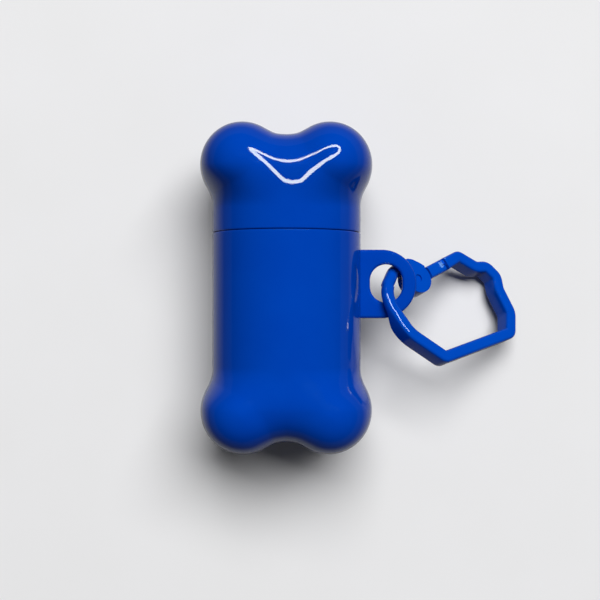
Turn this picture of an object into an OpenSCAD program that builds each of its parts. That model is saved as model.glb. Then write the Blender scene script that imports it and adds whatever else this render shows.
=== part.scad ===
// Bone-shaped dog waste bag dispenser with a hanging lug and a spring-gated carry ring.
// It lies on its back. X is across the bone towards the lug, Y runs along the bone
// towards the cap, Z is up, and Z = 0 is the surface it rests on.

/* [Bone] */
// radius of the tube between the bone ends
tube_r = 19; // [18:0.5:20]
// wall of the tube
tube_wall = 2.2; // [2:0.1:2.6]
// height of the seam between cap and body, from the middle of the bone
seam_y = 14; // [12:0.5:15]
// depth of each bone end, from the axis to its front or back
lobe_depth = 20.3; // [19.8:0.1:21]
// radius of each rounded lobe on the cap
cap_lobe_r = 10.9; // [10.4:0.1:11.4]
// distance of each cap lobe from the axis
cap_lobe_x = 10.9; // [10:0.1:11.4]
// distance of the cap lobes from the middle of the bone
cap_lobe_y = 30.9; // [30:0.1:32]
// distance of the notch between the cap lobes from the middle of the bone
cap_notch_y = 38.7; // [38:0.1:40]
// radius of each rounded lobe on the body
body_lobe_r = 11.1; // [10.4:0.1:11.8]
// distance of each body lobe from the axis
body_lobe_x = 10.6; // [10:0.1:11.4]
// distance of the body lobes from the middle of the bone
body_lobe_y = 30.9; // [30:0.1:32]
// distance of the notch between the body lobes from the middle of the bone
body_notch_y = 38.9; // [38:0.1:40]
// width of the hollow fillet between lobe and tube
lobe_blend = 2.4; // [1.5:0.1:3.5]
// distance in from a bone end's outline over which its front rounds off
edge_reach = 13.9; // [12:0.1:16]

/* [Neck and slot] */
// length of the neck that plugs into the cap
neck_len = 8; // [6:0.5:10]
// wall of the neck
neck_wall = 1; // [0.8:0.05:1.1]
// radial clearance of the neck in the cap
neck_gap = 0.05; // [0.03:0.01:0.1]
// length of the bag slot
slot_len = 28; // [24:1:28]

/* [Lug] */
// distance of the lug's round end from the axis of the bone
lug_x = 24.5; // [24:0.1:25.5]
// distance of the lug from the middle of the bone, towards the cap
lug_y = 1; // [0:0.1:2]
// radius of the lug's round end
lug_r = 8.8; // [8.6:0.1:9.4]
// thickness of the lug
lug_t = 2.2; // [2:0.1:2.3]
// width of the hole in the lug
hole_w = 8.24; // [8.2:0.02:8.8]
// length of the hole in the lug
hole_len = 9.72; // [9.7:0.02:10.2]

/* [Carry ring] */
// radial width of the ring's bar
ring_w = 3.1; // [2.8:0.1:3.2]
// axial thickness of the ring's bar
ring_t = 5; // [4.6:0.1:5.2]
// axial thickness of the ring's bar where it passes the lug
eye_t = 3.2; // [2.8:0.1:3.2]
// slope of the ring from level
ring_tilt = 35.2; // [35:0.1:35.4]
// diameter of the gate pin
pin_d = 2; // [1.6:0.1:2.1]
// diameter of the wire of the gate spring
wire_d = 0.32; // [0.25:0.01:0.35]

/* [Bags] */
// diameter of the roll of bags
roll_d = 28.6; // [22:0.2:30]
// length of the roll of bags
roll_len = 53; // [44:1:53]
// outer diameter of the card core
core_d = 12; // [10:0.5:14]
// width of the end of the bag that is threaded through the slot
tail_w = 24; // [18:1:25]

/* [Hidden] */
$fn = 96;
eps = 0.01;
over = 1;

// bone ends
axis_h = lobe_depth;
cap_start = seam_y + neck_len;
round_start = 19.5;
full_y = 30;
edge_power = 2.7;
blend_growth = 0.62;
valley = 0.4;
ray_y = 29;
end_join = 19.4;
end_overlap = 0.6;
end_proud = 0.0028;
end_rings = 26;
end_segs = 64;
seam_turn = 45; // keeps the start of a turned face clear of the slot and lug
ray_max = 45;
ray_steps = 20;

// hollow inside
bore_r = tube_r - tube_wall;
bore_end = 27;
cone_end = 31;
cone_r = bore_r - 3;
pocket_wall = 2.8;
pocket_short = 0.6;
pocket_step = 0.3;
pocket_from = 20;
seam_bevel = 0.3;
seam_gap = 0.12;
neck_r = bore_r + neck_wall;
neck_bevel = 0.5;
neck_floor_gap = 0.3;
neck_flare = 0.3;

// bags
roll_gap = 0.3;
roll_r = roll_d / 2;
roll_drop = bore_r - roll_r - roll_gap;
core_wall = 0.9;
tail_t = 0.2;
tail_gap = 0.04;
tail_low = 1.25;
tail_reach = norm([tube_r, roll_drop - tail_low]);
tail_run = sqrt(pow(tail_reach, 2) - pow(roll_r + tail_gap, 2));
tail_slope = asin((roll_r + tail_gap) / tail_reach) - atan((roll_drop - tail_low) / tube_r);
slot_y = -4.2;
slot_gap = 0.3;
slot_rise = tube_wall * tan(tail_slope) - tail_low + tail_t / cos(tail_slope);
slot_h = ceil(20 * (max(tail_low, slot_rise) + slot_gap)) / 10;

// lug
lug_edge = 0.8;
lug_root = tube_r - 1.4;
hole_x = 25.55;
hole_y = 1.16;
hole_half = (hole_len - hole_w) / 2;

// carry ring, drawn flat: x away from the bone, y along it, z through its thickness
ring_turn = 35;
ring_x = 25.6;
ring_y = 1.2;
ring_lift = 0.5;
ring_edge = 0.8;
eye_edge = 1.4;
eye_pitch = 0.8;
eye_near = 6;
eye_far = 12;
eye_spread = 5;
eye_fade = 16;
eye_flat = 8;
bar_step = 0.8;
corner_step = 12;
// each corner of the bar's centre line and the radius it turns with
ring_corners = [
    [18.9, -5.09, 0],
    [24.3, -5.6, 1.3],
    [27.5, -10.9, 3.1],
    [30.7, -12.5, 2.6],
    [31.6, -16.4, 2.3],
    [29.7, -19.4, 4.6],
    [28.3, -26.3, 3.6],
    [24.0, -30.4, 1.5],
    [0.7, -24.1, 1.3],
    [-5.0, -12.1, 10.3],
    [-3.0, -1.8, 7.7],
    [5.3, 1.4, 2.3],
    [8.4, -0.3, 2.1],
    [8.98, -3.87, 0]
];
nose = ring_corners[0];
pivot = ring_corners[len(ring_corners) - 1];
eye = [-1.5, 0.4];
// web between the bar's last bend and the fork
shoulder = [
    [6.5, -0.5], [8.2, 2.3], [9.7, 1.9], [10.8, 1.1], [12.3, -0.9], [13, -2.2], [12.6, -3.2],
    [9, -3.9]
];

// fork, gate and spring
fork_r = 4;
fork_low = -2.8;
fork_high = 1.2;
fork_slot_low = -1.8;
fork_slot_high = 0.35;
knuckle_r = 2.5;
knuckle_gap = 0.3;
knuckle_high = -0.55;
side_gap = 0.08;
gate_w = 3.4;
gate_t = 4;
gate_mid = -0.3;
gate_edge = 0.7;
gate_gap = 0.15;
heel_gap = 0.1;
heel_x = fork_r - 0.7;
nose_fade = 5;
lap_len = 1.1;
lap_gap = 0.12;
pin_gap = 0.05;
pin_sunk = 0.5;
coil_r = 1.45;
coil_turns = 1;
coil_low = knuckle_high + 0.08 + wire_d / 2;
coil_high = fork_slot_high - 0.06 - wire_d / 2;
coil_steps = 24;
leg_len = 1.6;

gate_len = norm([nose.x - pivot.x, nose.y - pivot.y]);
gate_turn = atan2(nose.y - pivot.y, nose.x - pivot.x);

cap_shell();
body_shell();
bag_roll();
roll_core();
bag_tail();
ring_frame();
ring_gate();
gate_pin();
gate_spring();

// ---- places ----

// bone parts are drawn standing on local Z and laid down along Y
module lay() {
    translate([0, 0, axis_h]) rotate([-90, 0, 0]) children();
}

// ring parts are drawn flat and tilted about the lug's hole
module hang() {
    translate([ring_x, ring_y, axis_h + ring_lift])
        rotate([0, 0, ring_turn]) rotate([0, ring_tilt, 0]) children();
}

// gate parts are drawn along x from the pivot
module at_pivot() {
    hang() translate([pivot.x, pivot.y, 0]) rotate([0, 0, gate_turn]) children();
}

// ---- bone ends ----

// A lobe is [distance from the axis, distance along it, radius, distance of the notch].
// The outline of the bone end, seen from the front, is two round lobes run into a round tube end.

function ease(t) = t * t * (3 - 2 * t);
function clamp(t, low, high) = min(max(t, low), high);

// height in x and z above one lobe, and above the tube and its end
function over_lobe(x, z, lobe) = norm([x - lobe.x, z - lobe.y]) - lobe.z;
function over_tube(x, z, notch) =
    norm([x, tube_r * max(z - round_start, 0) / (notch - round_start)]) - tube_r;

// two heights run into each other over a width that grows towards the inside
function blend(a, b) =
    let (k = lobe_blend + blend_growth * max(-min(a, b), 0))
    min(a, b) - pow(max(k - abs(a - b), 0), 2) / (4 * k);

// The front and back round off towards the outline: as a circle on the tube,
// with a fuller rounding and a shallow valley between the lobes on the bone end.
function over_end(p, lobe) =
    let (x = abs(p.x),
        inside = blend(over_lobe(x, p.z, lobe), over_tube(x, p.z, lobe[3])),
        share = rounding(p.z),
        reach = tube_r + (edge_reach - tube_r) * share,
        power = 2 + (edge_power - 2) * share,
        crest = 1 - valley + valley * ease(clamp(x / lobe.x, 0, 1)),
        depth = tube_r + (lobe_depth - tube_r) * share * crest)
    reach * (pow(pow(max(1 + inside / reach, 0), power) + pow(abs(p.y) / depth, power),
        1 / power) - 1);

// distance along a ray at which it leaves the bone end
function ray_length(dir, lobe, low = 0, high = ray_max, n = ray_steps) =
    n == 0 ? (low + high) / 2 :
    over_end([0, 0, ray_y] + dir * (low + high) / 2, lobe) < 0
        ? ray_length(dir, lobe, (low + high) / 2, high, n - 1)
        : ray_length(dir, lobe, low, (low + high) / 2, n - 1);

// the end stands a hair proud of the tube where they meet, so that no faces graze
function rounding(z) = ease(clamp((z - round_start) / (full_y - round_start), 0, 1));
function proud(z) = 1 + end_proud * (1 - rounding(z));

module bone_end(lobe) {
    last = 180 - atan2(tube_r, ray_y - end_join);
    pole = [0, 0, ray_y + ray_length([0, 0, 1], lobe)];
    wall = [
        for (i = [1 : end_rings - 1], j = [0 : end_segs - 1])
            let (a = last * i / end_rings, b = 360 * j / end_segs,
                dir = [sin(a) * cos(b), sin(a) * sin(b), cos(a)],
                p = [0, 0, ray_y] + dir * ray_length(dir, lobe))
            [p.x * proud(p.z), p.y * proud(p.z), p.z]
    ];
    foot = [
        for (j = [0 : end_segs - 1])
            let (b = 360 * j / end_segs, r = tube_r * proud(end_join))
            [r * cos(b), r * sin(b), end_join]
    ];
    points = concat([pole], wall, foot);
    top_faces = [for (j = [0 : end_segs - 1]) [0, 1 + (j + 1) % end_segs, 1 + j]];
    side_faces = [
        for (i = [0 : end_rings - 2], j = [0 : end_segs - 1])
            let (a = 1 + i * end_segs + j, b = 1 + i * end_segs + (j + 1) % end_segs)
            each [[a, b, a + end_segs], [b, b + end_segs, a + end_segs]]
    ];
    foot_face = [[for (j = [0 : end_segs - 1]) 1 + (end_rings - 1) * end_segs + j]];
    polyhedron(points, concat(top_faces, side_faces, foot_face));
}

// bore with a conical end, a wider mouth of radius mouth_r, and a pocket up into each lobe
module end_hollow(lobe, from, mouth_r, mouth_to) {
    rotate([0, 0, seam_turn]) rotate_extrude() polygon([
        [0, from], [mouth_r, from], [mouth_r, mouth_to], [bore_r, mouth_to],
        [bore_r, bore_end], [cone_r, cone_end], [0, cone_end]
    ]);
    intersection() {
        translate([0, 0, pocket_from]) cylinder(r = bore_r - pocket_step, h = ray_max);
        for (side = [-1, 1])
            translate([side * lobe.x, 0, lobe.y]) rotate([90, 0, 0])
                rotate_extrude()
                    pocket_half(lobe.z - pocket_wall, lobe_depth - lobe.z - pocket_short);
    }
}

// half of the outline of a round bar with domed ends, half as long as h plus its dome
module pocket_half(r, h) {
    translate([0, -h]) square([r, 2 * h]);
    intersection() {
        translate([0, -h - r]) square([r, 2 * (h + r)]);
        for (end = [-1, 1]) translate([0, end * h]) circle(r = r);
    }
}

// ---- bone ----

module cap_shell() {
    lobe = [cap_lobe_x, cap_lobe_y, cap_lobe_r, cap_notch_y];
    start = seam_y + seam_gap / 2;
    color([0.0, 0.25, 0.67])
    lay()
    difference() {
        union() {
            rotate([0, 0, seam_turn]) rotate_extrude() polygon([
                [0, start], [tube_r - seam_bevel, start], [tube_r, start + seam_bevel],
                [tube_r, end_join + end_overlap], [0, end_join + end_overlap]
            ]);
            bone_end(lobe);
        }
        end_hollow(lobe, seam_y - over, neck_r + neck_gap, cap_start + neck_floor_gap);
    }
}

module body_shell() {
    lobe = [body_lobe_x, body_lobe_y, body_lobe_r, body_notch_y];
    stop = seam_y - seam_gap / 2;
    color([0.0, 0.25, 0.67]) {
        lay()
        difference() {
            union() {
                mirror([0, 0, 1]) bone_end(lobe);
                rotate([0, 0, seam_turn]) rotate_extrude() polygon([
                    [0, -end_join - end_overlap], [tube_r, -end_join - end_overlap],
                    [tube_r, stop - seam_bevel], [tube_r - seam_bevel, stop],
                    [neck_r, stop], [neck_r, cap_start - neck_bevel],
                    [neck_r - neck_bevel, cap_start], [0, cap_start]
                ]);
            }
            mirror([0, 0, 1])
                end_hollow(lobe, -cap_start - over, bore_r + neck_flare, -cap_start + neck_flare);
            slot_cut();
        }
        lug();
    }
}

// slot with round ends through the wall opposite the lug
module slot_cut() {
    span = (slot_len - slot_h) / 2;
    translate([-tube_r - over, 0, slot_y]) rotate([0, 90, 0])
        linear_extrude(height = tube_wall + 3 * over) {
            for (end = [-1, 1]) translate([end * span, 0]) circle(d = slot_h);
            square([2 * span, slot_h], center = true);
        }
}

// plate with rounded edges, standing out from the tube in its middle plane
module lug() {
    difference() {
        translate([0, lug_y, axis_h]) {
            translate([lug_x, 0, 0]) rotate_extrude() lug_rim();
            translate([lug_root, 0, 0]) rotate([90, 0, 90])
                linear_extrude(height = lug_x - lug_root)
                    for (side = [0, 1]) mirror([side, 0]) lug_rim();
        }
        translate([hole_x, hole_y, axis_h]) {
            for (end = [-1, 1])
                translate([0, end * hole_half, 0]) rotate_extrude() hole_rim();
            rotate([90, 0, 0]) linear_extrude(height = 2 * hole_half, center = true)
                for (side = [0, 1]) mirror([side, 0]) hole_rim();
        }
    }
}

// half of the lug's section
module lug_rim() {
    translate([0, -lug_t / 2]) square([lug_r - lug_edge, lug_t]);
    translate([0, -lug_t / 2 + lug_edge]) square([lug_r, lug_t - 2 * lug_edge]);
    for (face = [-1, 1])
        translate([lug_r - lug_edge, face * (lug_t / 2 - lug_edge)]) circle(r = lug_edge);
}

// half of the section of the cutter for the hole, flared towards both faces
module hole_rim() {
    hole_r = hole_w / 2;
    difference() {
        translate([0, -lug_t / 2 - eps]) square([hole_r + lug_edge, lug_t + 2 * eps]);
        translate([hole_r, -lug_t / 2 + lug_edge]) square([lug_edge + over, lug_t - 2 * lug_edge]);
        for (face = [-1, 1])
            translate([hole_r + lug_edge, face * (lug_t / 2 - lug_edge)]) circle(r = lug_edge);
    }
}

// ---- bags ----

module at_roll() {
    lay() translate([0, roll_drop, 0]) children();
}

module bag_roll() {
    color([0.13, 0.15, 0.14])
    at_roll()
    difference() {
        cylinder(r = roll_r, h = roll_len, center = true);
        cylinder(d = core_d, h = roll_len + 2 * over, center = true);
    }
}

module roll_core() {
    color([0.72, 0.6, 0.45])
    at_roll()
    difference() {
        cylinder(d = core_d, h = roll_len, center = true);
        cylinder(d = core_d - 2 * core_wall, h = roll_len + 2 * over, center = true);
    }
}

// end of the bag, leaving the roll and passing down through the slot
module bag_tail() {
    color([0.2, 0.22, 0.21])
    translate([-tube_r, slot_y, axis_h - tail_low]) rotate([0, -tail_slope, 0])
        translate([0, -tail_w / 2, 0]) cube([tail_run, tail_w, tail_t]);
}

// ---- carry ring ----

// points around one corner of a path
function turn(a, b, c) =
    let (p = [b.x, b.y],
        u = ([a.x, a.y] - p) / norm([a.x, a.y] - p),
        v = ([c.x, c.y] - p) / norm([c.x, c.y] - p),
        angle = acos(clamp(u * v, -1, 1)),
        room = 0.49 * min(norm([a.x, a.y] - p), norm([c.x, c.y] - p)),
        back = min(b.z / tan(angle / 2), room),
        r = back * tan(angle / 2),
        mid = p + (u + v) / norm(u + v) * (r / sin(angle / 2)),
        from = atan2((p + u * back - mid).y, (p + u * back - mid).x),
        to = atan2((p + v * back - mid).y, (p + v * back - mid).x),
        sweep = (to - from + 360 + 180) % 360 - 180,
        n = max(2, ceil(abs(sweep) / corner_step)))
    [for (i = [0 : n]) mid + r * [cos(from + sweep * i / n), sin(from + sweep * i / n)]];

// straight runs are divided so that the section can change along them
function divide(path, step) = [
    for (i = [0 : len(path) - 2])
        let (n = max(1, ceil(norm(path[i + 1] - path[i]) / step)))
        for (k = [0 : n - 1]) path[i] + (path[i + 1] - path[i]) * k / n,
    path[len(path) - 1]
];

function corner_path(c) = [
    [c[0].x, c[0].y],
    for (i = [1 : len(c) - 2]) each turn(c[i - 1], c[i], c[i + 1]),
    [c[len(c) - 1].x, c[len(c) - 1].y]
];

function heading(path, i) =
    let (d = path[min(i + 1, len(path) - 1)] - path[max(i - 1, 0)]) d / norm(d);

// section of a bar: a rectangle w by t with its corners rounded to r
function section(w, t, r) = [
    for (q = [0 : 3], k = [0 : 3])
        let (a = 90 * q + 30 * k,
            cx = (q == 0 || q == 3 ? 1 : -1) * (w / 2 - r),
            cy = (q < 2 ? 1 : -1) * (t / 2 - r))
        [cx + r * cos(a), cy + r * sin(a)]
];

// closed skin over a row of rings of n points each
module skin(rings) {
    n = len(rings[0]);
    m = len(rings);
    polyhedron(
        [for (ring = rings) each ring],
        concat(
            [[for (j = [0 : n - 1]) j]],
            [for (i = [0 : m - 2], j = [0 : n - 1])
                let (a = i * n + j, b = i * n + (j + 1) % n)
                each [[a, a + n, b], [b, a + n, b + n]]],
            [[for (j = [n - 1 : -1 : 0]) (m - 1) * n + j]]
        )
    );
}

// share of the full section, from the eye in the lug outwards
function eye_share(p) = ease(clamp((norm(p - eye) - eye_near) / (eye_far - eye_near), 0, 1));

// the bar climbs over the lug before its hole and dips under it after
function eye_rise(p, past) =
    let (d = norm(p - eye))
    past ? -eye_pitch * clamp(d / eye_spread, 0, 1)
        : eye_pitch * clamp(d / eye_spread, 0, 1) * clamp((eye_fade - d) / eye_flat, 0, 1);

// first point of the path that is past the eye
function eye_index(path) =
    let (d = [for (p = path) norm(p - eye)], low = min(d))
    [for (i = [0 : len(d) - 1]) if (d[i] == low) i][0];

module ring_bar() {
    path = divide(corner_path(ring_corners), bar_step);
    middle = eye_index(path);
    nose_at = [nose.x, nose.y];
    skin([
        for (i = [0 : len(path) - 1])
            let (p = path[i],
                d = heading(path, i),
                k = eye_share(p),
                w = ring_w + (gate_w - ring_w) * clamp(1 - norm(p - nose_at) / nose_fade, 0, 1),
                t = eye_t + (ring_t - eye_t) * (i > middle ? 0 : k),
                r = min(eye_edge + (ring_edge - eye_edge) * (i > middle ? 0 : k), w / 2 - eps,
                    t / 2 - eps),
                rise = eye_rise(p, i > middle))
            [for (s = section(w, t, r)) [p.x - d.y * s.x, p.y + d.x * s.x, s.y + rise]]
    ]);
}

// frame of the ring: bar, fork for the gate and nose with a lap for the gate's tip
module ring_frame() {
    color([0.0, 0.28, 0.75])
    difference() {
        union() {
            hang() {
                ring_bar();
                translate([0, 0, fork_low])
                    linear_extrude(height = fork_high - fork_low) polygon(shoulder);
            }
            at_pivot() {
                translate([0, 0, fork_low]) cylinder(r = fork_r, h = fork_high - fork_low);
                translate([gate_len - lap_len, lap_gap, gate_mid - gate_t / 2 + gate_edge])
                    cube([lap_len + over, gate_w / 2 - lap_gap, gate_t - 2 * gate_edge]);
            }
        }
        at_pivot() {
            translate([0, 0, fork_slot_low]) {
                cylinder(r = knuckle_r + knuckle_gap, h = fork_slot_high - fork_slot_low);
                translate([0, -fork_r - over, 0])
                    cube([fork_r + over, fork_r + over + knuckle_r + knuckle_gap,
                        fork_slot_high - fork_slot_low]);
            }
            translate([0, 0, fork_low - over]) cylinder(d = pin_d, h = fork_high - fork_low + 2 * over);
        }
    }
}

module ring_gate() {
    tongue_h = knuckle_high - fork_slot_low - side_gap;
    tip = gate_len - gate_gap;
    color([0.0, 0.28, 0.75])
    at_pivot()
    difference() {
        union() {
            translate([0, 0, fork_slot_low + side_gap]) {
                cylinder(r = knuckle_r, h = tongue_h);
                translate([0, -gate_w / 2, 0]) cube([fork_r + over, gate_w, tongue_h]);
            }
            difference() {
                skin([
                    for (x = [heel_x, tip])
                        [for (s = section(gate_w, gate_t, gate_edge)) [x, s.x, s.y + gate_mid]]
                ]);
                translate([0, 0, gate_mid - gate_t])
                    cylinder(r = fork_r + heel_gap, h = 2 * gate_t);
            }
        }
        translate([0, 0, fork_low]) cylinder(d = pin_d + 2 * pin_gap, h = fork_high - fork_low);
        translate([gate_len - lap_len - lap_gap, 0, gate_mid - gate_t / 2 - over])
            cube([lap_len + over, gate_w, gate_t + 2 * over]);
    }
}

module gate_pin() {
    color([0.7, 0.71, 0.72])
    at_pivot() translate([0, 0, fork_low])
        cylinder(d = pin_d, h = fork_high - fork_low - pin_sunk);
}

// torsion spring round the pin, one leg towards the gate and one towards the back of the fork
module gate_spring() {
    n = coil_steps * coil_turns;
    coil = [
        for (i = [0 : n])
            let (a = -90 + 360 * i / coil_steps)
            [coil_r * cos(a), coil_r * sin(a), coil_low + (coil_high - coil_low) * i / n]
    ];
    path = concat(
        [coil[0] - [leg_len, 0, 0]],
        coil,
        [coil[n] + [leg_len, 0, 0]]
    );
    color([0.7, 0.71, 0.72])
    at_pivot() skin([
        for (i = [0 : len(path) - 1])
            let (d = heading(path, i), side = cross(d, [0, 0, 1]) / norm(cross(d, [0, 0, 1])),
                up = cross(side, d))
            [for (k = [0 : 7])
                path[i] + wire_d / 2 * (side * cos(45 * k) + up * sin(45 * k))]
    ]);
}
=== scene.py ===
"""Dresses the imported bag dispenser: glossy blue bone, lug, carry ring and the bags inside it."""
import math

import bmesh
import bpy
import numpy as np
from mathutils import Matrix, Vector


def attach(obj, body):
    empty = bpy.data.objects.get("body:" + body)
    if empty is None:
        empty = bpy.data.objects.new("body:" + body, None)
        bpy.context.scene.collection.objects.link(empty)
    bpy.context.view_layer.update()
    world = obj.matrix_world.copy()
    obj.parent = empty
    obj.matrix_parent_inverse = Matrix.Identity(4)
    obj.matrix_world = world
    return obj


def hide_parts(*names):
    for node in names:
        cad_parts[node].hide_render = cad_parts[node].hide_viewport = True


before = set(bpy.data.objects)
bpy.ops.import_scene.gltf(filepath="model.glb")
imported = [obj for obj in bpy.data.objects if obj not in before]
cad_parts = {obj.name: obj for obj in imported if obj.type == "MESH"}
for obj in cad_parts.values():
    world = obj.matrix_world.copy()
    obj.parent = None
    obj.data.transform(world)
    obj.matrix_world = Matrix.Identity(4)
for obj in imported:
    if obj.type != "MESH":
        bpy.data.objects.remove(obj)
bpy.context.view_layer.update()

MM = 0.001
rng = np.random.default_rng(11)

# Sizes are in millimetres, as in the CAD source. The bone and its room are drawn standing, with x
# across it towards the lug and z up to the cap from its middle, and LAY puts them on their back.
# The lug, its hole and the slot are drawn lying: y runs to the cap, and z is 0 on the table.

# ---- bone ----

TUBE_R = 19
TUBE_WALL = 2.2
DEPTH = 20.3  # from the axis to the front or back of a bone end
AXIS_H = DEPTH  # height of the axis over the table
CAP_LOBE = (10.9, 30.9, 10.9, 38.7)  # x, z and radius of a lobe, and z of the notch
BODY_LOBE = (10.6, 30.9, 11.1, 38.9)
BLEND = 2.4  # width of the fillet between lobe and tube at the outline
BLEND_GROWTH = 0.62  # how much wider it gets per millimetre inwards
ROUND_START = 19.5  # where an end starts to differ from the tube
FULL_Z = 30  # where its depth and the rounding of its front are full
EDGE_REACH = 13.9  # distance in from the outline over which the front rounds off
EDGE_POWER = 2.7  # power of that rounding, where 2 is a circle
VALLEY = 0.4  # share of an end's extra depth that its middle lacks
END_JOIN = 19.4  # where the skin of an end meets the tube's
RAY_Z = 29  # the point on the axis from which an end's skin is found
BEYOND = 45.0  # past the tip of either end
SKIN_RINGS, SKIN_SEGS = 110, 256
TUBE_STEP = 0.9  # height of the bands in the tube's skin
JOIN_BAND = 0.5  # band left free beside an end or a rim

SEAM_Z = 14
SEAM_GAP = 0.06  # from the seam's middle to each rim
SEAM_EDGE = 0.3
RIM_IN_R = 12  # where the cap's rim stops inwards, before the bore is cut
NECK_IN_R = 10  # the same for the neck's end
NECK_GAP = 0.05  # round the neck
NECK_ROOM = 0.3  # over the neck's end
MOUTH_BEVEL = 0.25
BORE_R = TUBE_R - TUBE_WALL
BORE_BEVEL = 0.3
BORE_TURN = 27  # where the bore starts to taper
BORE_END = BORE_TURN + 4
BORE_END_R = BORE_R - 3
NECK_R = BORE_R + 1
NECK_TOP = SEAM_Z + 8
NECK_EDGE = 0.5
POCKET_WALL = 2.8  # from a lobe's outline to the pocket in it
POCKET_FRONT = 0.6  # what the wall in front of a pocket has more
POCKET_R = BORE_R - 0.3  # how far a pocket reaches from the axis
POCKET_LOW = 20

SLOT_Y = -4.2
SLOT_LEN = 28
SLOT_H = 3.6
SLOT_EDGE = 0.4
SLOT_FACE_X = -TUBE_R - 0.02  # just outside the tube
SLOT_IN_X = -15

LUG_X, LUG_Y, LUG_R, LUG_T, LUG_EDGE = 24.5, 1, 8.8, 2.2, 0.8
LUG_ROOT = TUBE_R - 1.4  # its straight end, in the tube's wall
HOLE_X, HOLE_Y, HOLE_R = 25.55, 1.16, 4.12
HOLE_HALF = 0.74  # from the hole's middle to the middle of each of its round ends

# ---- ring and gate, with x and y in the ring's plane, from HANG_AT ----

RING_W, RING_T, EYE_T = 3.1, 5, 3.2
RING_EDGE, EYE_EDGE = 0.8, 1.4
RING_CORNERS = [  # x, y and the radius of the corner
    (18.9, -5.09, 0), (24.3, -5.6, 1.3), (27.5, -10.9, 3.1), (30.7, -12.5, 2.6),
    (31.6, -16.4, 2.3), (29.7, -19.4, 4.6), (28.3, -26.3, 3.6), (24.0, -30.4, 1.5),
    (0.7, -24.1, 1.3), (-5.0, -12.1, 10.3), (-3.0, -1.8, 7.7), (5.3, 1.4, 2.3),
    (8.4, -0.3, 2.1), (8.98, -3.87, 0),
]
NOSE = np.array(RING_CORNERS[0][:2])
PIVOT = np.array(RING_CORNERS[-1][:2])
HANG_AT = (25.6, 1.2, AXIS_H + 0.5)  # in the lug's hole
RING_TILT = 35.2
RING_AIM = 35
BAR_STEP = 0.5
CORNER_STEP = 4  # degrees
LEG_SHARE = 0.49  # the most of a straight side that the rounding of one corner takes

EYE = np.array([-1.5, 0.4])  # where the bar goes through the lug
EYE_REACH, EYE_FADE = 6, 6  # length over which it stays thin towards the nose, and then thickens
EYE_PITCH, PITCH_REACH = 0.8, 5  # how far it rises before the eye and drops after it
PITCH_END, PITCH_FADE = 16, 8  # how far away the rise has ended, and over what length it fades
NOSE_REACH = 5  # length over which the bar widens to the gate's width

SHOULDER = [
    (9, -3.9), (12.6, -3.2), (13, -2.2), (12.3, -0.9), (10.8, 1.1), (9.7, 1.9), (8.2, 2.3), (6.5, -0.5),
]
FORK_R, FORK_LOW, FORK_HIGH, FORK_EDGE = 4, -2.8, 1.2, 0.15
SLIT_LOW, SLIT_HIGH = -1.8, 0.35  # the slit in the fork that takes the knuckle
KNUCKLE_R, KNUCKLE_HIGH, KNUCKLE_EDGE, KNUCKLE_ROOM = 2.5, -0.55, 0.12, 0.3
GATE_LEN = float(np.hypot(*(NOSE - PIVOT)))
GATE_TURN = math.atan2(*(NOSE - PIVOT)[::-1])
GATE_W, GATE_T, GATE_MID, GATE_EDGE = 3.4, 4, -0.3, 0.7
GATE_ROOT = FORK_R - 0.7
GATE_STEP = 0.8
HEEL_R, HEEL_EDGE = FORK_R + 0.1, 0.1  # the hollow root that clears the fork
TIP_GAP, TIP_EDGE = 0.15, 0.12
TONGUE_GAP = 0.08
LAP, LAP_GAP = 1.1, 0.12
PIN_R, PIN_GAP = 1.0, 0.05
PAST = 4  # how far cutters reach, past all that they cut

# ---- bags ----

ROLL_R = 14.3
ROLL_DROP = BORE_R - ROLL_R - 0.3  # below the axis of the bone
ROLL_LEN = 53
ROLL_LAYERS = 45
ROLL_SEGS = 160
LAYER_STEP = 0.18  # how far the layers' ends typically step in
LAYER_GAP = 0.03
ROLL_RIM = 0.12  # what the first and last layer step in
ROLL_EDGE = 0.25
ROLL_DENT = 0.06
CORE_R = 6
TAIL_W = 24
TAIL_LOW = 1.25  # how far below the axis it leaves the slot
TAIL_TOUCH = ROLL_R + 0.04  # from the roll's middle to the straight line that the film follows
TAIL_LIFT = 0.13  # off that line
TAIL_RIPPLE = 0.07
FILM_HALF = 0.03  # half its thickness

# ---- places ----

LAY = Matrix.Translation((0, 0, AXIS_H)) @ Matrix.Rotation(math.radians(-90), 4, "X")
AT_ROLL = LAY @ Matrix.Translation((0, ROLL_DROP, 0))
HANG = (Matrix.Translation(HANG_AT) @ Matrix.Rotation(math.radians(RING_AIM), 4, "Z")
        @ Matrix.Rotation(math.radians(RING_TILT), 4, "Y"))
AT_PIVOT = HANG @ Matrix.Translation((*PIVOT, 0)) @ Matrix.Rotation(GATE_TURN, 4, "Z")
CAMERA = np.array([3.47, -3.11, 288.3])
VIEW_ANGLE = 32.08

# ---- mesh helpers ----


def piece(name, points, faces, place=Matrix.Identity(4)):
    """A closed mesh object from points in millimetres, set at place."""
    mesh = bpy.data.meshes.new(name)
    mesh.from_pydata([tuple(place @ Vector(p) * MM) for p in points], [], faces)
    build = bmesh.new()
    build.from_mesh(mesh)
    bmesh.ops.recalc_face_normals(build, faces=build.faces)
    build.to_mesh(mesh)
    build.free()
    obj = bpy.data.objects.new(name, mesh)
    bpy.context.scene.collection.objects.link(obj)
    return obj


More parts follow.
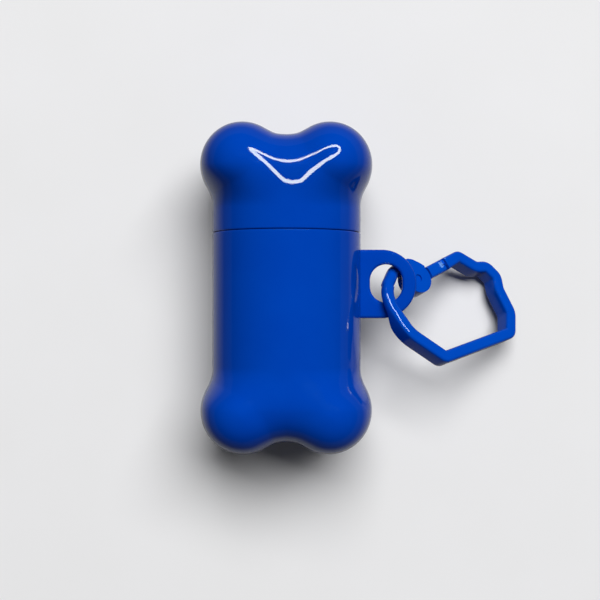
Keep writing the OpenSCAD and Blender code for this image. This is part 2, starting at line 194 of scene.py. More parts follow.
def loft(rings, closed=False):
    """Points and faces of a skin over rings of equal length, where a ring of one point is a pole.

    A closed skin runs on from its last ring to its first. Any other has a cap on each end.
    """
    points, starts = [], []
    for ring in rings:
        starts.append(len(points))
        points.extend([tuple(float(c) for c in p) for p in ring])
    n = max(len(ring) for ring in rings)
    faces = []
    row = list(zip(starts, rings))
    for (a, ring_a), (b, ring_b) in zip(row, row[1:] + row[:1] if closed else row[1:]):
        for j in range(n):
            k = (j + 1) % n
            if len(ring_a) == 1:
                faces.append((a, b + j, b + k))
            elif len(ring_b) == 1:
                faces.append((a + j, b, a + k))
            else:
                faces.append((a + j, b + j, b + k, a + k))
    for start, ring in ([] if closed else [row[0], row[-1]]):
        if len(ring) > 1:
            faces.append(tuple(start + j for j in range(n)))
    return points, faces


def circle(r, z, n):
    if r == 0:
        return [(0, 0, z)]
    a = np.arange(n) * 2 * math.pi / n
    return np.stack([r * np.cos(a), r * np.sin(a), np.full(n, z)], 1)


def revolve(name, profile, place, n):
    """profile is a row of (radius, height)."""
    return piece(name, *loft([circle(r, z, n) for r, z in profile]), place)


def cylinder(name, r, low, high, place, n):
    return revolve(name, [(0, low), (r, low), (r, high), (0, high)], place, n)


def arc(cx, cz, r, start, end, n):
    """Points of an arc in a profile, angles in degrees from the radius axis."""
    angles = [math.radians(start + (end - start) * i / n) for i in range(n + 1)]
    return [(cx + r * math.cos(a), cz + r * math.sin(a)) for a in angles]


def rounded_disc(name, r, low, high, edge, place, n=96):
    rim = arc(r - edge, low + edge, edge, -90, 0, 4) + arc(r - edge, high - edge, edge, 0, 90, 4)
    return revolve(name, [(0, low)] + rim + [(0, high)], place, n)


def block(name, low, high, place):
    (x0, y0, z0), (x1, y1, z1) = low, high
    rings = [[(x0, y0, z), (x1, y0, z), (x1, y1, z), (x0, y1, z)] for z in (z0, z1)]
    return piece(name, *loft(rings), place)


def steps(start, end, step):
    """Even places from start to end, about step apart."""
    n = max(1, round(abs(end - start) / step))
    return [start + (end - start) * i / n for i in range(n + 1)]


def ease(t):
    """From 0 to 1 along a smooth S."""
    t = np.clip(t, 0, 1)
    return t * t * (3 - 2 * t)


def crossing(inside, low, high):
    """Where inside(place) stops being true between low and high, by halving."""
    for _ in range(44):
        middle = (low + high) / 2
        here = inside(middle)
        low, high = np.where(here, middle, low), np.where(here, high, middle)
    return low


def combine(obj, tool, how):
    """obj becomes itself with tool taken away, added or kept, and tool is used up."""
    change = obj.modifiers.new("combine", "BOOLEAN")
    change.operation = how
    change.solver = "MANIFOLD"
    change.object = tool
    made = bpy.data.meshes.new_from_object(obj.evaluated_get(bpy.context.evaluated_depsgraph_get()))
    obj.modifiers.clear()
    spare = [obj.data, tool.data]
    obj.data = made
    bpy.data.objects.remove(tool)
    for mesh in spare:
        bpy.data.meshes.remove(mesh)
    return obj


def smooth(obj, angle=32):
    """Smooth shading, with edges sharper than angle kept crisp."""
    obj.data.shade_smooth()
    obj.data.set_sharp_from_angle(angle=math.radians(angle))
    return obj


def coat(obj, material):
    obj.data.materials.clear()
    obj.data.materials.append(material)


def dress(obj, material, body, node):
    """The object rides on body and stands for the CAD node."""
    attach(obj, body)
    coat(obj, material)
    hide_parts(node)


# ---- materials ----


class Nodes:
    """A node tree, built up one node at a time."""

    def __init__(self, tree):
        self.tree = tree

    def add(self, kind, **settings):
        node = self.tree.nodes.new(kind)
        for name, value in settings.items():
            setattr(node, name, value)
        return node

    def link(self, start, end):
        self.tree.links.new(start, end)

    def spread(self, value, low, high, out_low=0.0, out_high=1.0):
        """value, with low to high stretched to out_low to out_high."""
        node = self.add("ShaderNodeMapRange")
        node.inputs["From Min"].default_value = low
        node.inputs["From Max"].default_value = high
        node.inputs["To Min"].default_value = out_low
        node.inputs["To Max"].default_value = out_high
        self.link(value, node.inputs["Value"])
        return node.outputs["Result"]

    def ramp(self, value, *stops):
        """Between two stops of (place, colour)."""
        node = self.add("ShaderNodeValToRGB")
        for element, (at, colour) in zip(node.color_ramp.elements, stops):
            element.position = at
            element.color = (*colour, 1)
        self.link(value, node.inputs["Fac"])
        return node.outputs["Color"]

    def mix(self, factor, *colours):
        """From the first colour to the second as factor goes from 0 to 1."""
        node = self.add("ShaderNodeMix", data_type="RGBA")
        self.link(factor, node.inputs[0])
        for colour, socket in zip(colours, node.inputs[6:8]):
            if isinstance(colour, tuple):
                socket.default_value = (*colour, 1)
            else:
                self.link(colour, socket)
        return node.outputs[2]


class Shader(Nodes):
    """A Principled material."""

    def __init__(self, name, roughness, ior=1.5, metallic=0.0):
        self.material = bpy.data.materials.new(name)
        self.material.use_nodes = True
        super().__init__(self.material.node_tree)
        self.shader = self.tree.nodes["Principled BSDF"]
        self.fix("Roughness", roughness)
        self.fix("IOR", ior)
        self.fix("Metallic", metallic)
        self.place = self.add("ShaderNodeTexCoord").outputs["Object"]

    def fix(self, socket, value):
        self.shader.inputs[socket].default_value = value

    def feed(self, socket, value):
        self.link(value, self.shader.inputs[socket])

    def stretched(self, scale):
        mapping = self.add("ShaderNodeMapping")
        mapping.inputs["Scale"].default_value = scale
        self.link(self.place, mapping.inputs["Vector"])
        return mapping.outputs["Vector"]

    def noise(self, scale, detail=3.0, roughness=0.5, place=None):
        """scale is per metre."""
        node = self.add("ShaderNodeTexNoise")
        node.inputs["Scale"].default_value = scale
        node.inputs["Detail"].default_value = detail
        node.inputs["Roughness"].default_value = roughness
        self.link(place or self.place, node.inputs["Vector"])
        return node.outputs["Fac"]

    def bump(self, *layers):
        """layers are (height, distance in metres), each on top of the last."""
        under = None
        for height, distance in layers:
            node = self.add("ShaderNodeBump")
            node.inputs["Strength"].default_value = 1
            node.inputs["Distance"].default_value = distance
            self.link(height, node.inputs["Height"])
            if under:
                self.link(under, node.inputs["Normal"])
            under = node.outputs["Normal"]
        self.feed("Normal", under)


def blue_plastic(name, deep, light, roughness):
    """Glossy moulded plastic: slight colour drift, faint scuffs and a trace of orange peel."""
    s = Shader(name, roughness, ior=1.43)
    s.fix("Specular Tint", (0.5, 0.7, 1, 1))
    s.feed("Base Color", s.ramp(s.noise(60, 4), (0.3, deep), (0.7, light)))
    scuffs = s.noise(900, 6, 0.7, s.stretched((1, 6, 1)))
    s.feed("Roughness", s.spread(scuffs, 0.35, 0.75, roughness * 0.8, roughness * 1.3))
    s.bump((s.noise(240, 2), 4e-6), (s.noise(2600, 3), 4e-7))
    return s.material


def bag_film():
    """Thin dark film, wound tight: wrinkles along it, dull and shiny by turns."""
    s = Shader("bag_film", 0.38)
    s.feed("Base Color", s.ramp(s.noise(180, 5), (0.35, (0.016, 0.02, 0.019)), (0.65, (0.028, 0.034, 0.032))))
    wrinkles = s.noise(420, 6, 0.6, s.stretched((1, 0.35, 1)))
    s.feed("Roughness", s.spread(wrinkles, 0.3, 0.7, 0.28, 0.5))
    s.bump((wrinkles, 1.2e-4), (s.noise(3000, 3), 1e-5))
    return s.material


def card():
    """Grey-brown card with its fibres along the roll."""
    s = Shader("card", 0.85)
    fibres = s.noise(1500, 8, 0.7, s.stretched((1, 0.3, 1)))
    s.feed("Base Color", s.ramp(fibres, (0.3, (0.36, 0.24, 0.14)), (0.7, (0.52, 0.38, 0.24))))
    s.bump((fibres, 6e-5))
    return s.material


def steel():
    """Drawn wire: fine lines and uneven shine."""
    s = Shader("steel", 0.25, metallic=1.0)
    lines = s.noise(4000, 4, 0.6, s.stretched((1, 1, 0.1)))
    s.feed("Base Color", s.ramp(lines, (0.3, (0.5, 0.5, 0.51)), (0.7, (0.62, 0.62, 0.63))))
    s.feed("Roughness", s.spread(lines, 0.3, 0.7, 0.2, 0.38))
    s.bump((lines, 4e-6))
    return s.material


SHELL_BLUE = blue_plastic("shell_blue", (0.0, 0.048, 0.42), (0.0, 0.055, 0.45), 0.07)
RING_BLUE = blue_plastic("ring_blue", (0.0, 0.06, 0.47), (0.0, 0.068, 0.5), 0.12)
FILM, CARD, STEEL = bag_film(), card(), steel()

# ---- bone ----


def over_end(p, lobe):
    """About how far points p lie outside a bone end, and less than 0 inside it."""
    lobe_x, lobe_z, lobe_r, notch = lobe
    x, y, z = np.abs(p[..., 0]), np.abs(p[..., 1]), p[..., 2]
    round_lobe = np.hypot(x - lobe_x, z - lobe_z) - lobe_r
    t = np.maximum(z - ROUND_START, 0) / (notch - ROUND_START)
    round_tube = np.hypot(x, TUBE_R * t) - TUBE_R
    nearer = np.minimum(round_lobe, round_tube)
    blend = BLEND + BLEND_GROWTH * np.maximum(-nearer, 0)
    inside = nearer - np.maximum(blend - np.abs(round_lobe - round_tube), 0) ** 2 / (4 * blend)
    share = ease((z - ROUND_START) / (FULL_Z - ROUND_START))
    reach = TUBE_R + (EDGE_REACH - TUBE_R) * share
    power = 2 + (EDGE_POWER - 2) * share
    depth = TUBE_R + (DEPTH - TUBE_R) * share * (1 - VALLEY + VALLEY * ease(x / lobe_x))
    u = np.maximum(1 + inside / reach, 0)
    return reach * ((u ** power + (y / depth) ** power) ** (1 / power) - 1)


def end_rings(lobe):
    """Rings over a bone end, from its pole to the tube."""
    last = math.pi - math.atan2(TUBE_R, RAY_Z - END_JOIN)
    lean = (last * np.arange(1, SKIN_RINGS + 1) / SKIN_RINGS)[:, None]
    turn = (2 * math.pi * np.arange(SKIN_SEGS) / SKIN_SEGS)[None, :]
    way = np.stack([np.sin(lean) * np.cos(turn), np.sin(lean) * np.sin(turn), np.cos(lean) + 0 * turn], -1)
    start = np.array([0, 0, RAY_Z])
    far = crossing(lambda t: over_end(start + way * t[..., None], lobe) < 0,
                   np.zeros(way.shape[:2]), np.full(way.shape[:2], BEYOND))
    pole = np.array([0, 0, lobe[3]])
    return [[pole]] + list(start + way * far[..., None])


def tube_rings(profile):
    return [circle(r, z, SKIN_SEGS) for r, z in profile]


def hollow(lobe, profile):
    """The room inside one end: a revolve, and a pocket up into each lobe."""
    room = revolve("room", profile, LAY, SKIN_SEGS)
    lobe_x, lobe_z, lobe_r = lobe[:3]
    r = lobe_r - POCKET_WALL
    half = DEPTH - lobe_r - POCKET_FRONT
    dome = arc(0, half, r, 0, 90, 24)[:-1] + [(0, half + r)]
    side = [(r, q) for q in steps(-half, half, 1)[1:-1]]
    outline = [(p, -q) for p, q in reversed(dome)] + side + dome
    for x in (-lobe_x, lobe_x):
        place = LAY @ Matrix.Translation((x, 0, lobe_z)) @ Matrix.Rotation(math.radians(90), 4, "X")
        pocket = revolve("pocket", outline, place, 96)
        combine(pocket, cylinder("keep", POCKET_R, POCKET_LOW, BEYOND, LAY, 192), "INTERSECT")
        combine(room, pocket, "UNION")
    return room


def cap():
    start = SEAM_Z + SEAM_GAP
    side = [(TUBE_R, z) for z in steps(END_JOIN - JOIN_BAND, start + SEAM_EDGE + JOIN_BAND, TUBE_STEP)]
    rim = arc(TUBE_R - SEAM_EDGE, start + SEAM_EDGE, SEAM_EDGE, 0, -90, 6)
    rings = end_rings(CAP_LOBE) + tube_rings(side + rim + [(RIM_IN_R, start)])
    obj = piece("cap_skin", *loft(rings), LAY)
    mouth = NECK_R + NECK_GAP
    wide, below, top = mouth + MOUTH_BEVEL, start - PAST, NECK_TOP + NECK_ROOM
    bevel = [(mouth + MOUTH_BEVEL * (1 - t), start + MOUTH_BEVEL * t) for t in (0, 0.5, 1)]
    socket = [(0, below), (wide, below)] + bevel + [(mouth, z) for z in steps(start + 1, top, 1)]
    bore = [(BORE_R, top), (BORE_R, BORE_TURN), (BORE_END_R, BORE_END), (0, BORE_END)]
    combine(obj, hollow(CAP_LOBE, socket + bore), "DIFFERENCE")
    dress(smooth(obj), SHELL_BLUE, "cap", "cap_shell")


def stadium(half, r, n=24):
    """Outline of a slot along x: points anticlockwise."""
    a = np.linspace(-math.pi / 2, math.pi / 2, n + 1)
    right = np.stack([half + r * np.cos(a), r * np.sin(a)], 1)
    return np.concatenate([right, -right])


def slot_cutter():
    """A cutter along x, wider at the outer face, so that the slot's edge is bevelled."""
    half = (SLOT_LEN - SLOT_H) / 2
    cuts = [(SLOT_FACE_X - 2, 1.5 * SLOT_EDGE), (SLOT_FACE_X, SLOT_EDGE),
            (SLOT_FACE_X + SLOT_EDGE, 0), (SLOT_IN_X, 0)]
    rings = [[(x, along + SLOT_Y, up + AXIS_H) for along, up in stadium(half, SLOT_H / 2 + grow)]
             for x, grow in cuts]
    return piece("slot", *loft(rings))


def lug_outline(grow):
    """The lug from above, with its rim moved out by grow."""
    a = np.linspace(-math.pi / 2, math.pi / 2, 65)
    r = LUG_R + grow
    round_end = np.stack([LUG_X + r * np.cos(a), LUG_Y + r * np.sin(a)], 1)
    top = np.array([[x, LUG_Y + r] for x in steps(LUG_X, LUG_ROOT, 1)[1:]])
    low = np.array([[x, LUG_Y - r] for x in steps(LUG_ROOT, LUG_X, 1)[:-1]])
    return np.concatenate([round_end, top, low])


def lug():
    """Plate with rounded rim, its hole rounded too."""
    flat = LUG_T / 2 - LUG_EDGE
    rim = [(-LUG_EDGE * (1 - math.cos(a)), -flat - LUG_EDGE * math.sin(a))
           for a in np.linspace(math.pi / 2, 0, 9)]
    rim += [(grow, -z) for grow, z in reversed(rim)]
    plate = piece("lug", *loft([[(x, y, z + AXIS_H) for x, y in lug_outline(grow)] for grow, z in rim]))
    wide, out = 1.2 * LUG_EDGE, flat + 1.6 * LUG_EDGE
    loops = []
    for grow, z in [(wide, -out)] + [(-grow, z) for grow, z in rim] + [(wide, out)]:
        loop = stadium(HOLE_HALF, HOLE_R + grow, 32)
        loops.append([(HOLE_X - across, HOLE_Y + along, z + AXIS_H) for along, across in loop])
    return combine(plate, piece("lug_hole", *loft(loops)), "DIFFERENCE")


def body():
    stop = SEAM_Z - SEAM_GAP
    foot = [[(x, y, -z) for x, y, z in ring] for ring in end_rings(BODY_LOBE)]
    side = [(TUBE_R, z) for z in steps(-END_JOIN + JOIN_BAND, stop - SEAM_EDGE - JOIN_BAND, TUBE_STEP)]
    rim = arc(TUBE_R - SEAM_EDGE, stop - SEAM_EDGE, SEAM_EDGE, 0, 90, 6)
    neck = [(NECK_R, stop)] + [(NECK_R, z) for z in steps(stop + 1, NECK_TOP - 1, 1)]
    top = arc(NECK_R - NECK_EDGE, NECK_TOP - NECK_EDGE, NECK_EDGE, 0, 90, 6) + [(NECK_IN_R, NECK_TOP)]
    obj = piece("body_skin", *loft(foot + tube_rings(side + rim + neck + top)), LAY)
    combine(obj, lug(), "UNION")
    wide = BORE_R + BORE_BEVEL
    deep = [(0, BORE_END), (BORE_END_R, BORE_END), (BORE_R, BORE_TURN)]
    deep += [(BORE_R, z) for z in steps(BORE_TURN - 1, 2 - NECK_TOP, 2)]
    deep += [(BORE_R, BORE_BEVEL - NECK_TOP), (wide, -NECK_TOP), (wide, -NECK_TOP - 3), (0, -NECK_TOP - 3)]
    room = hollow(BODY_LOBE, deep)
    room.data.transform(Matrix.Scale(-1, 4, (0, 1, 0)))
    room.data.flip_normals()
    combine(obj, room, "DIFFERENCE")
    combine(obj, slot_cutter(), "DIFFERENCE")
    dress(smooth(obj), SHELL_BLUE, "shell", "body_shell")


# ---- ring ----


def corner_path(corners):
    """The bar's centre line, with each corner rounded to its radius."""
    path = [np.array(corners[0][:2])]
    for before, here, after in zip(corners, corners[1:], corners[2:]):
        corner = np.array(here[:2])
        legs = [np.array(end[:2]) - corner for end in (before, after)]
        lengths = [np.hypot(*leg) for leg in legs]
        ways = [leg / length for leg, length in zip(legs, lengths)]
        angle = math.acos(np.clip(ways[0] @ ways[1], -1, 1))
        back = min(here[2] / math.tan(angle / 2), LEG_SHARE * min(lengths))
        r = back * math.tan(angle / 2)
        inward = ways[0] + ways[1]
        middle = corner + inward / np.hypot(*inward) * (r / math.sin(angle / 2))
        start, end = (math.degrees(math.atan2(*(corner + way * back - middle)[::-1])) for way in ways)
        sweep = (end - start + 540) % 360 - 180
        n = max(2, math.ceil(abs(sweep) / CORNER_STEP))
        for i in range(n + 1):
            t = math.radians(start + sweep * i / n)
            path.append(middle + r * np.array([math.cos(t), math.sin(t)]))
    path.append(np.array(corners[-1][:2]))
    return path


def divide(path, step):
    """The path with points no more than step apart."""
    row = []
    for a, b in zip(path, path[1:]):
        n = max(1, math.ceil(np.hypot(*(b - a)) / step))
        row += [a + (b - a) * k / n for k in range(n)]
    return np.array(row + [path[-1]])


def section(w, t, r, n=6):
    """A rectangle w by t with its corners rounded to r."""
    points = []
    for q in range(4):
        cx = (1 if q in (0, 3) else -1) * (w / 2 - r)
        cy = (1 if q < 2 else -1) * (t / 2 - r)
        for k in range(n + 1):
            a = math.radians(90 * (q + k / n))
            points.append((cx + r * math.cos(a), cy + r * math.sin(a)))
    return np.array(points)


def bar_cuts():
    """Along the bar: its middle, the way left of it, width, thickness, edge radius and rise."""
    path = divide(corner_path(RING_CORNERS), BAR_STEP)
    ahead = np.gradient(path, axis=0)
    ahead /= np.hypot(*ahead.T)[:, None]
    far = np.hypot(*(path - EYE).T)
    eye = int(np.argmin(far))
    cuts = []
    for i, (p, way, away) in enumerate(zip(path, ahead, far)):
        full = 0 if i > eye else float(ease((away - EYE_REACH) / EYE_FADE))
        thick = EYE_T + (RING_T - EYE_T) * full
        edge = min(EYE_EDGE + (RING_EDGE - EYE_EDGE) * full, RING_W / 2 - 0.01, thick / 2 - 0.01)
        width = RING_W + (GATE_W - RING_W) * max(1 - math.hypot(*(p - NOSE)) / NOSE_REACH, 0)
        rise = EYE_PITCH * min(away / PITCH_REACH, 1)
        rise *= -1 if i > eye else float(np.clip((PITCH_END - away) / PITCH_FADE, 0, 1))
        cuts.append((p, np.array([-way[1], way[0]]), width, thick, edge, rise))
    return cuts


def ring_bar():
    rings = [[(*(p + left * across), up + rise) for across, up in section(width, thick, edge)]
             for p, left, width, thick, edge, rise in bar_cuts()]
    return piece("carry_ring", *loft(rings), HANG)


def gate_cut(x, inset=0.0):
    """The gate's outline at x along it, drawn in by inset."""
    outline = section(GATE_W - 2 * inset, GATE_T - 2 * inset, GATE_EDGE - inset / 2)
    return [(x, across, up + GATE_MID) for across, up in outline]


def carry_ring():
    """The bar with its shoulder and fork at one end, and at the other half a lap for the gate."""
    obj = ring_bar()
    shoulder = [[(x, y, z) for x, y in SHOULDER] for z in (FORK_LOW, FORK_HIGH)]
    combine(obj, piece("shoulder", *loft(shoulder), HANG), "UNION")
    combine(obj, rounded_disc("fork", FORK_R, FORK_LOW, FORK_HIGH, FORK_EDGE, AT_PIVOT), "UNION")
    lap = piece("lap", *loft([gate_cut(GATE_LEN - LAP), gate_cut(GATE_LEN + 1)]), AT_PIVOT)
    below = block("below", (GATE_LEN - PAST, -PAST, -PAST), (GATE_LEN + PAST, LAP_GAP, PAST), AT_PIVOT)
    combine(lap, below, "DIFFERENCE")
    combine(obj, lap, "UNION")
    r = KNUCKLE_R + KNUCKLE_ROOM
    slit = cylinder("slit", r, SLIT_LOW, SLIT_HIGH, AT_PIVOT, 96)
    combine(slit, block("way", (0, -FORK_R - 1, SLIT_LOW), (FORK_R + 1, r, SLIT_HIGH), AT_PIVOT), "UNION")
    combine(obj, slit, "DIFFERENCE")
    combine(obj, cylinder("pin_hole", PIN_R, -PAST, PAST, AT_PIVOT, 48), "DIFFERENCE")
    dress(smooth(obj), RING_BLUE, "ring", "ring_frame")


def gate():
    """A bar with a hollow heel round the fork, a tongue and knuckle in the slit, and half a lap."""
    low, high = SLIT_LOW + TONGUE_GAP, KNUCKLE_HIGH
    tip = GATE_LEN - TIP_GAP
    bar = [gate_cut(x) for x in steps(GATE_ROOT, tip - TIP_EDGE, GATE_STEP)]
    bar += [gate_cut(tip - TIP_EDGE / 3, TIP_EDGE / 3), gate_cut(tip, TIP_EDGE)]
    obj = piece("gate_bar", *loft(bar), AT_PIVOT)
    combine(obj, rounded_disc("heel", HEEL_R, -PAST, PAST, HEEL_EDGE, AT_PIVOT, 192), "DIFFERENCE")
    combine(obj, rounded_disc("knuckle", KNUCKLE_R, low, high, KNUCKLE_EDGE, AT_PIVOT), "UNION")
    tongue = block("tongue", (0, -GATE_W / 2, low), (FORK_R + 1, GATE_W / 2, high), AT_PIVOT)
    combine(obj, tongue, "UNION")
    combine(obj, cylinder("hole", PIN_R + PIN_GAP, -PAST, PAST, AT_PIVOT, 48), "DIFFERENCE")
    lap = block("lap_cut", (GATE_LEN - LAP - LAP_GAP, 0, -PAST), (GATE_LEN + 2, PAST, PAST), AT_PIVOT)
    combine(obj, lap, "DIFFERENCE")
    dress(smooth(obj), RING_BLUE, "gate", "ring_gate")


# ---- bags ----


def roll():
    """Wound film: its ends step in and out with the layers."""
    half = ROLL_LEN / 2
    radii = np.linspace(CORE_R + 0.02, ROLL_R, ROLL_LAYERS + 1)
    depth = np.abs(rng.normal(0, LAYER_STEP, len(radii)))
    depth[0] = depth[-1] = ROLL_RIM
    top = []
    for r0, r1, d in zip(radii, radii[1:], depth):
        top += [(r0, half - d), (r1 - LAYER_GAP, half - 0.8 * d)]
    wound = [(ROLL_R - ROLL_DENT * abs(math.sin(z * 0.9)) * rng.random(), z)
             for z in steps(half - 1, 1 - half, 1.2)]
    outer = [(ROLL_R, half - ROLL_EDGE)] + wound + [(ROLL_R, ROLL_EDGE - half)]
    low = [(r, -z) for r, z in reversed(top)]
    rings = [circle(r, z, ROLL_SEGS) for r, z in top + outer + low]
    obj = piece("bag_roll_film", *loft(rings, closed=True), AT_ROLL)
    dress(smooth(obj, 50), FILM, "roll", "bag_roll")


def tail():
    """The bag's end: a thin film from the roll down through the slot, with soft ripples."""
    drop = ROLL_DROP - TAIL_LOW
    reach = math.hypot(TUBE_R, drop)
    run = math.sqrt(reach ** 2 - TAIL_TOUCH ** 2)
    slope = math.asin(TAIL_TOUCH / reach) - math.atan(drop / TUBE_R)
    along, across = np.linspace(0, run, 26), np.linspace(-TAIL_W / 2, TAIL_W / 2, 61)
    free = ease(1 - along / run)[:, None]  # from 1 in the slot to 0 on the roll
    waves = np.sin(across * 1.1 + 0.4)[None, :] * free * (1 + 0.3 * np.sin(along * 0.9)[:, None])
    lift = TAIL_LIFT + TAIL_RIPPLE * waves
    points = []
    for side in (FILM_HALF, -FILM_HALF):
        for i, a in enumerate(along):
            for j, b in enumerate(across):
                h = lift[i, j] + side
                x = -TUBE_R + a * math.cos(slope) - h * math.sin(slope)
                z = AXIS_H - TAIL_LOW + a * math.sin(slope) + h * math.cos(slope)
                points.append((x, SLOT_Y + b, z))
    size = lift.size
    grid = np.arange(size).reshape(lift.shape)
    faces = []
    for corners in zip(grid[:-1, :-1].flat, grid[:-1, 1:].flat, grid[1:, 1:].flat, grid[1:, :-1].flat):
        quad = tuple(int(k) for k in corners)
        faces += [quad, tuple(size + k for k in reversed(quad))]
    rim = np.concatenate([grid[0], grid[1:, -1], grid[-1, -2::-1], grid[-2:0:-1, 0]]).tolist()
    for a, b in zip(rim, rim[1:] + rim[:1]):
        faces.append((a, b, b + size, a + size))
    obj = piece("bag_end_film", points, faces)
    dress(smooth(obj, 60), FILM, "tail", "bag_tail")


cap()
body()
carry_ring()
gate()
roll()
tail()
coat(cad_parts["roll_core"], CARD)
coat(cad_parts["gate_pin"], RING_BLUE)
coat(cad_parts["gate_spring"], STEEL)

# ---- stage, in metres ----

FLOOR_HALF = 3
DIM_START, DIM_END = 0.02, 0.1  # how far from the middle the floor starts and stops fading in the gloss
DIM_LEAST, DIM_MOST = 0.15, 0.88  # how black it is there
FLOOR_BOUNCE = (0.12, 0.12, 0.12)
LAMP_PLACE, LAMP_SIZE, LAMP_POWER = (0.55, 1.4, 2.55), (2.4, 1.6), 111
WORLD_LIGHT = (0.05, 0.05, 0.05)
WORLD_MIRRORED = (0.01, 0.012, 0.016)
WORLD_SEEN = (0.76, 0.77, 0.78)


def floor():
    """Pale paper that gives little light back to the object and fades to dark in its gloss."""
    mesh = bpy.data.meshes.new("floor")
    corners = [(-1, -1), (1, -1), (1, 1), (-1, 1)]
    mesh.from_pydata([(x * FLOOR_HALF, y * FLOOR_HALF, 0) for x, y in corners], [], [(0, 1, 2, 3)])
    obj = bpy.data.objects.new("floor", mesh)
    bpy.context.scene.collection.objects.link(obj)
    s = Shader("floor", 0.9)
    paper = s.ramp(s.noise(30, 5), (0.3, (0.80, 0.80, 0.805)), (0.7, (0.815, 0.815, 0.825)))
    away = s.add("ShaderNodeVectorMath", operation="LENGTH")
    s.link(s.place, away.inputs[0])
    fade = s.spread(away.outputs["Value"], DIM_START, DIM_END, DIM_LEAST, DIM_MOST)
    rays = s.add("ShaderNodeLightPath").outputs
    bounced = s.mix(rays["Is Diffuse Ray"], paper, FLOOR_BOUNCE)
    mirrored = s.mix(fade, paper, (0, 0, 0))
    s.feed("Base Color", s.mix(rays["Is Glossy Ray"], bounced, mirrored))
    s.fix("Specular IOR Level", 0)
    mesh.materials.append(s.material)


def surroundings():
    """A dim world, darker in reflections and pale where the camera sees it past the floor."""
    world = bpy.data.worlds.new("world")
    world.use_nodes = True
    bpy.context.scene.world = world
    sky = Nodes(world.node_tree)
    rays = sky.add("ShaderNodeLightPath").outputs
    light = sky.mix(rays["Is Glossy Ray"], WORLD_LIGHT, WORLD_MIRRORED)
    light = sky.mix(rays["Is Camera Ray"], light, WORLD_SEEN)
    sky.link(light, sky.tree.nodes["Background"].inputs["Color"])


def lamp():
    """A soft lamp aimed at the object, which doesn't show in its gloss."""
    light = bpy.data.lights.new("key", "AREA")
    light.shape = "RECTANGLE"
    light.size, light.size_y = LAMP_SIZE
    light.energy = LAMP_POWER
    obj = bpy.data.objects.new("key", light)
    obj.location = LAMP_PLACE
    obj.rotation_euler = (-Vector(LAMP_PLACE)).to_track_quat("-Z", "Y").to_euler()
    obj.visible_glossy = obj.visible_camera = False
    bpy.context.scene.collection.objects.link(obj)


# ---- lights that are seen only in the gloss, in millimetres ----
# The plastic's gloss is tinted blue, so that a warm light looks white in it.

SHINE_H = 42  # height over the table
SHINE_LINE = [  # x, y and half the width of the bright line on the cap
    (-8.6, 33.1, 0.42), (-6.5, 32.4, 0.22), (-4.8, 31.5, 0.22), (-2.7, 30.6, 0.27), (-0.6, 30.1, 0.33),
    (1.1, 30.0, 0.33), (3.2, 30.3, 0.28), (5.3, 31.2, 0.22), (7.4, 32.0, 0.2), (9.4, 33.0, 0.2),
    (11.1, 33.6, 0.24), (12.4, 33.6, 0.28), (13.0, 33.0, 0.28), (12.8, 32.1, 0.28), (11.5, 31.1, 0.32),
    (9.4, 30.0, 0.38), (7.8, 28.8, 0.46), (6.1, 27.6, 0.5), (4.8, 26.3, 0.46), (3.7, 25.3, 0.42),
    (1.5, 25.0, 0.45), (-0.2, 25.4, 0.45), (-1.4, 26.4, 0.42), (-3.1, 28.1, 0.4), (-4.8, 29.8, 0.38),
    (-6.9, 31.5, 0.4),
]
RIDGE_MAX_X = -1  # in the ring's plane, as are the next two
RIDGE_START, RIDGE_RUN = -2.6, 10.4  # y where the line starts, and how far it runs down
RIDGE_TURN, RIDGE_DRIFT, RIDGE_HALF = 50, 32, 6  # degrees round the bar's edge
PATCH_X, PATCH_Y = (8.2, 9.95), (-0.5, 1.5)  # along and across the gate


def glow(name, points, faces, colour, strength):
    """A card that only the gloss shows, lit on the front of its faces and clear from behind."""
    mesh = bpy.data.meshes.new(name)
    mesh.from_pydata([tuple(p * MM) for p in points], [], faces)
    obj = bpy.data.objects.new(name, mesh)
    bpy.context.scene.collection.objects.link(obj)
    s = Shader(name, 1)
    s.fix("Base Color", (0, 0, 0, 1))
    s.fix("Emission Color", (*colour, 1))
    s.fix("Emission Strength", strength)
    s.feed("Alpha", s.spread(s.add("ShaderNodeNewGeometry").outputs["Backfacing"], 0, 1, 1, 0))
    mesh.materials.append(s.material)
    obj.visible_camera = obj.visible_diffuse = obj.visible_shadow = obj.visible_transmission = False


def reflected(x, y):
    """Where light seen in the cap's front at (x, y) comes from, at SHINE_H."""
    def above(p):
        return over_end(np.array([p[0], p[2] - AXIS_H, p[1]]), CAP_LOBE)
    z = crossing(lambda z: above((x, y, z)) < 0, AXIS_H, AXIS_H + DEPTH + 1)
    p = np.array([x, y, z])
    normal = np.array([above(p + d) - above(p - d) for d in 0.01 * np.eye(3)])
    normal /= np.linalg.norm(normal)
    view = (CAMERA - p) / np.linalg.norm(CAMERA - p)
    way = 2 * (normal @ view) * normal - view
    return p + way * (SHINE_H - p[2]) / way[2]


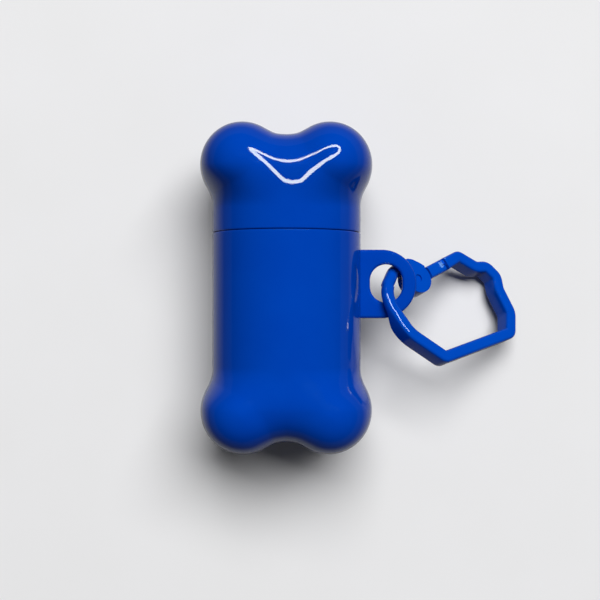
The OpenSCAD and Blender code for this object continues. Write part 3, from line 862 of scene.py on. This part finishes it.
def shine():
    """The bright frame of a softbox, hung where its reflection runs along SHINE_LINE on the cap."""
    corners = np.array(SHINE_LINE)
    loop = []
    for a, b in zip(corners, np.roll(corners, -1, 0)):
        loop += [a + (b - a) * t for t in np.linspace(0, 1, 6)[:-1]]
    loop = np.array(loop)
    line, half = loop[:, :2], loop[:, 2:]
    along = np.roll(line, -1, 0) - np.roll(line, 1, 0)
    along /= np.hypot(*along.T)[:, None]
    across = np.stack([-along[:, 1], along[:, 0]], 1) * half
    points = [reflected(*p) for edge in (line + across, line - across) for p in edge]
    n = len(line)
    faces = [(i, (i + 1) % n, n + (i + 1) % n, n + i) for i in range(n)]
    glow("shine", points, faces, (1, 0.75, 0.4), 42)


def glint(name, rows, place, reach, colour, strength):
    """A card reach off the surface, mirrored to the camera at two rows of (point, normal)."""
    turn = place.to_3x3()
    spots, points = [], []
    for spot, normal in rows[0] + rows[1]:
        spot = place @ Vector(spot)
        look = (spot - Vector(CAMERA)).normalized()
        spots.append(spot)
        points.append(spot + look.reflect((turn @ Vector(normal)).normalized()) * reach)
    n = len(rows[0])
    faces = []
    for i in range(n - 1):
        face = (i, i + 1, n + i + 1, n + i)
        a, b, c = (points[k] for k in face[:3])
        faces.append(face if (b - a).cross(c - a) @ (spots[i] - points[i]) > 0 else face[::-1])
    glow(name, points, faces, colour, strength)


def ridge_glint():
    """A bright highlight line along the outer edge of the ring's arc, where it comes out of the lug's hole:
    the reflection of a glowing card hung 0.5 mm off it.
    """
    rows = [[], []]
    for p, left, width, thick, edge, rise in bar_cuts():
        share = (RIDGE_START - p[1]) / RIDGE_RUN
        if p[0] > RIDGE_MAX_X or not 0 <= share <= 1:
            continue
        for row, side in zip(rows, (-RIDGE_HALF, RIDGE_HALF)):
            a = math.radians(RIDGE_TURN + RIDGE_DRIFT * share + side)
            out = left * (width / 2 - edge + edge * math.cos(a))
            spot = (*(p + out), rise + thick / 2 - edge + edge * math.sin(a))
            row.append((spot, (*(left * math.cos(a)), math.sin(a))))
    glint("ridge_shine", rows, HANG, 0.5, (1, 0.85, 0.6), 30)


def gate_glint():
    """A dim highlight patch on the front of the gate: the reflection of a glowing card hung 1 mm off it."""
    rows = [[((x, y, GATE_MID + GATE_T / 2), (0, 0, 1)) for x in PATCH_X] for y in PATCH_Y]
    glint("gate_shine", rows, AT_PIVOT, 1, (0.7, 1, 0.8), 9)


def camera():
    lens = bpy.data.cameras.new("camera")
    lens.sensor_fit = "HORIZONTAL"
    lens.angle = math.radians(VIEW_ANGLE)
    obj = bpy.data.objects.new("camera", lens)
    obj.location = CAMERA * MM
    bpy.context.scene.collection.objects.link(obj)
    bpy.context.scene.camera = obj


floor()
surroundings()
lamp()
shine()
ridge_glint()
gate_glint()
camera()

bpy.context.scene.view_settings.view_transform = "Standard"
